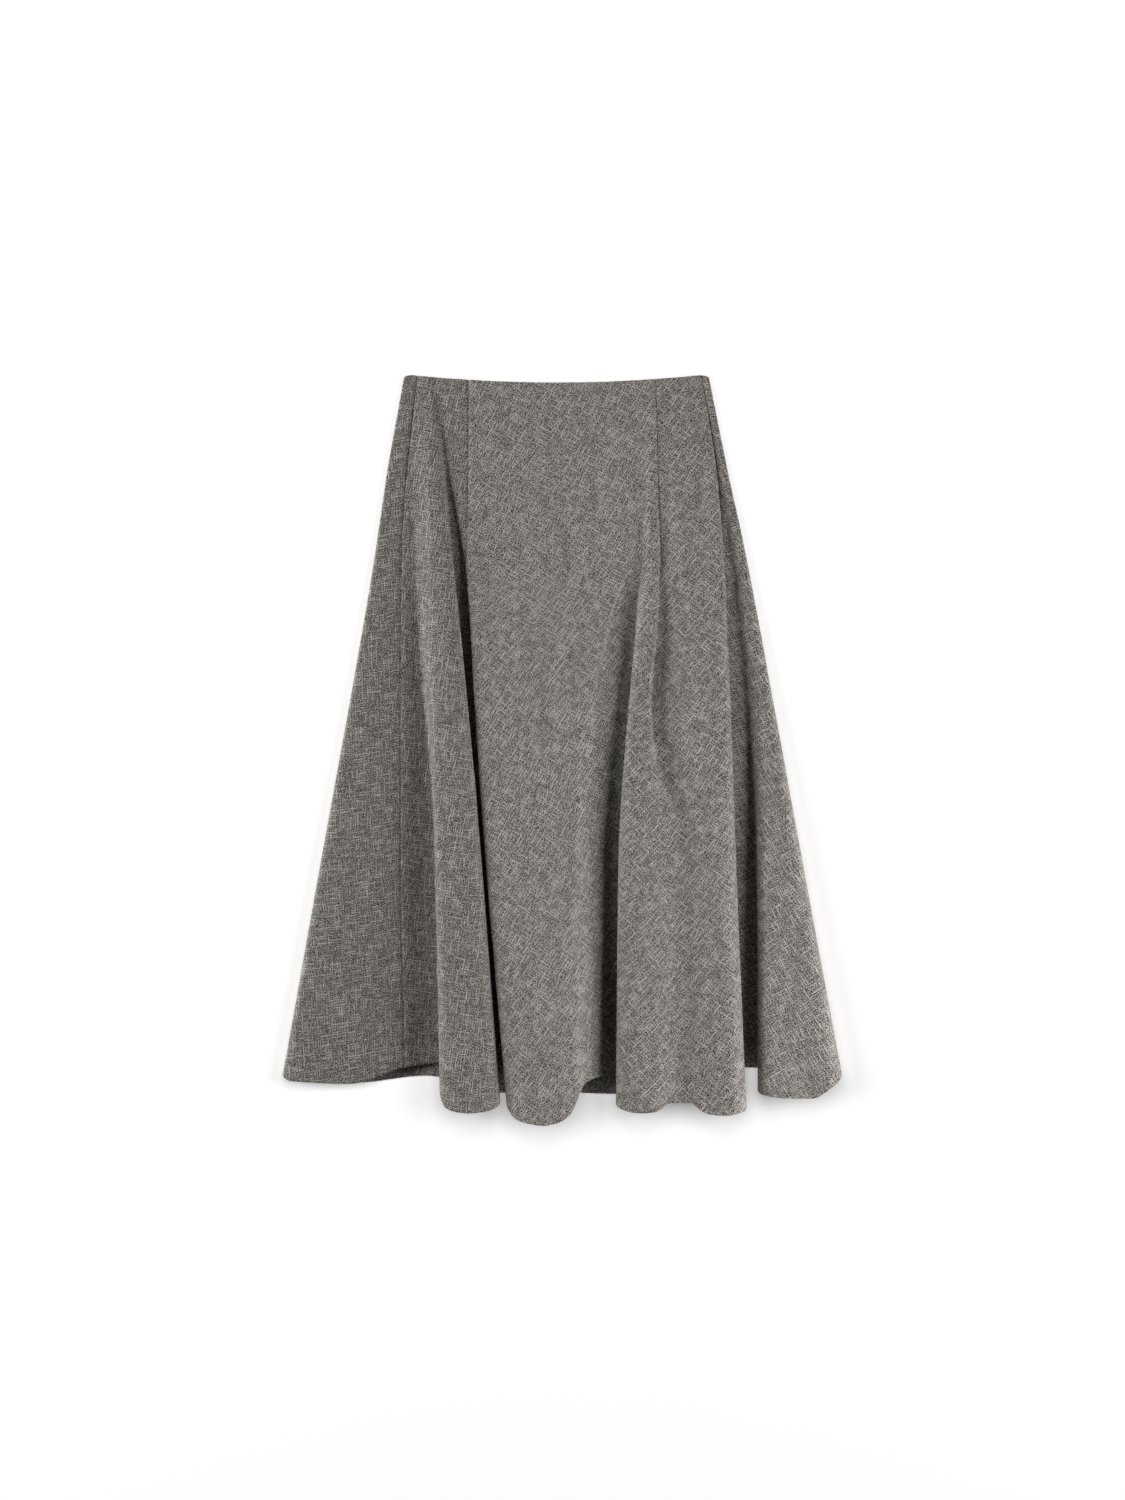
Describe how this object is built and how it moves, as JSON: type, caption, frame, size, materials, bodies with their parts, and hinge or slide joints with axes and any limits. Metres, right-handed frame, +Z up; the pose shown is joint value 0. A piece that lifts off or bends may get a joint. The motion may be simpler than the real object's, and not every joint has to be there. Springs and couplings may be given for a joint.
{
  "type": "godet skirt",
  "caption": "Flared midi skirt of plain wool-like cloth with godets in the front seams, laid flat on its back with its folds as they fall.",
  "frame": {"origin": "middle of the footprint, on the surface that the skirt lies on", "axes": "+Y from the hem to the waist, +X to the right of a person looking down on the front with the waist away from them, +Z up out of the surface"},
  "size_m": [0.6134, 0.8216, 0.0467],
  "materials": {
    "wool_cloth": "matt melange wool weave, slightly napped",
    "zip": "woven tape with a matt plastic coil"
  },
  "bodies": {
    "root": {"front_centre_gore": "wool_cloth", "front_left_gore": "wool_cloth", "front_right_gore": "wool_cloth", "godet_left": "wool_cloth", "godet_right": "wool_cloth", "back_left_gore": "wool_cloth", "back_right_gore": "wool_cloth", "back_zip": "zip"}
  },
  "joints": []
}
